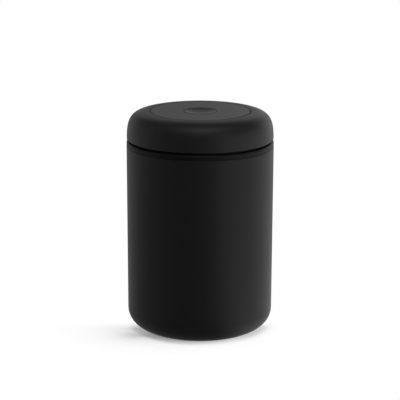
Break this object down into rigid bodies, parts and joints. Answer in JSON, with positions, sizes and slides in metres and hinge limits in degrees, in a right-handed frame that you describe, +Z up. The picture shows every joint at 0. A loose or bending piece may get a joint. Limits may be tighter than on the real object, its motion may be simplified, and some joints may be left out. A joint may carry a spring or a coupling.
{
  "type": "vacuum food canister",
  "caption": "Straight round steel canister whose twist-to-pump lid draws the air out and lets it back in through a push button in the middle of its top.",
  "frame": {"origin": "centre of the foot ring, on the surface that the canister stands on", "axes": "+Z up along the can's axis; the two pump barrels in the lid lie along +X (right) and -X (left)"},
  "size_m": [0.1204, 0.1204, 0.1821],
  "materials": {
    "can_coating": "matte black coating outside, bare brushed steel inside",
    "foot_silicone": "matte silicone",
    "black_moulding": "fine moulded matte",
    "cap_moulding": "fine moulded matte",
    "panel_moulding": "fine moulded matte",
    "button_moulding": "fine moulded matte",
    "seal_silicone": "soft matte silicone",
    "cup_rubber": "satin rubber",
    "white_acetal": "satin moulding",
    "grey_acetal": "satin moulding",
    "amber_polymer": "satin bearing polymer",
    "filter_mesh": "woven fine mesh",
    "bright_steel": "plated",
    "spring_steel": "drawn wire"
  },
  "bodies": {
    "canister": {"canister_shell": "can_coating", "foot_ring": "foot_silicone"},
    "lid_base": {"lower_housing": "black_moulding", "mouth_gasket": "seal_silicone", "intake_cover": "black_moulding", "filter_disc": "filter_mesh", "manifold_seal": "seal_silicone", "pump_manifold": "white_acetal", "manifold_screws": "bright_steel", "thrust_washer": "amber_polymer", "retaining_clip": "spring_steel", "valve_spring": "spring_steel", "cylinder_head_right": "white_acetal", "inlet_valve_right": "seal_silicone", "cylinder_head_left": "white_acetal", "inlet_valve_left": "seal_silicone"},
    "cap": {"cap_shell": "cap_moulding", "top_panel": "panel_moulding", "cam_plate": "grey_acetal", "cam_bush": "amber_polymer", "cam_screws": "bright_steel"},
    "button": {"release_button": "button_moulding"},
    "valve": {"valve_stem": "white_acetal", "valve_seal": "seal_silicone", "valve_retainer": "bright_steel"},
    "right_piston": {"piston_right": "grey_acetal", "piston_cup_right": "cup_rubber", "follower_pin_right": "bright_steel", "follower_bush_right": "amber_polymer"},
    "left_piston": {"piston_left": "grey_acetal", "piston_cup_left": "cup_rubber", "follower_pin_left": "bright_steel", "follower_bush_left": "amber_polymer"}
  },
  "joints": [
    {"name": "lid_lift", "type": "slide", "parent": "canister", "child": "lid_base", "axis": [0, 0, 1], "range_m": [0, 0.12]},
    {"name": "cap_twist", "type": "hinge", "parent": "lid_base", "child": "cap", "pos_m": [0, 0, 0.16], "axis": [0, 0, 1], "range_deg": [-45, 45]},
    {"name": "button_press", "type": "slide", "parent": "cap", "child": "button", "axis": [0, 0, -1], "range_m": [0, 0.0025], "stiffness_N_per_m": 600, "springref_m": -0.004},
    {"name": "valve_open", "type": "slide", "parent": "lid_base", "child": "valve", "axis": [0, 0, -1], "range_m": [0, 0.0025], "deforming": ["valve_spring"]},
    {"name": "piston_right_slide", "type": "slide", "parent": "lid_base", "child": "right_piston", "axis": [1, 0, 0], "range_m": [-0.0053, 0.0053]},
    {"name": "piston_left_slide", "type": "slide", "parent": "lid_base", "child": "left_piston", "axis": [-1, 0, 0], "range_m": [-0.0053, 0.0053]}
  ],
  "couplings": [
    {"joint": "valve_open", "follows": "button_press", "ratio": 1},
    {"joint": "piston_right_slide", "follows": "cap_twist", "m_per_rad": 0.0066995},
    {"joint": "piston_left_slide", "follows": "cap_twist", "m_per_rad": 0.0066995}
  ]
}
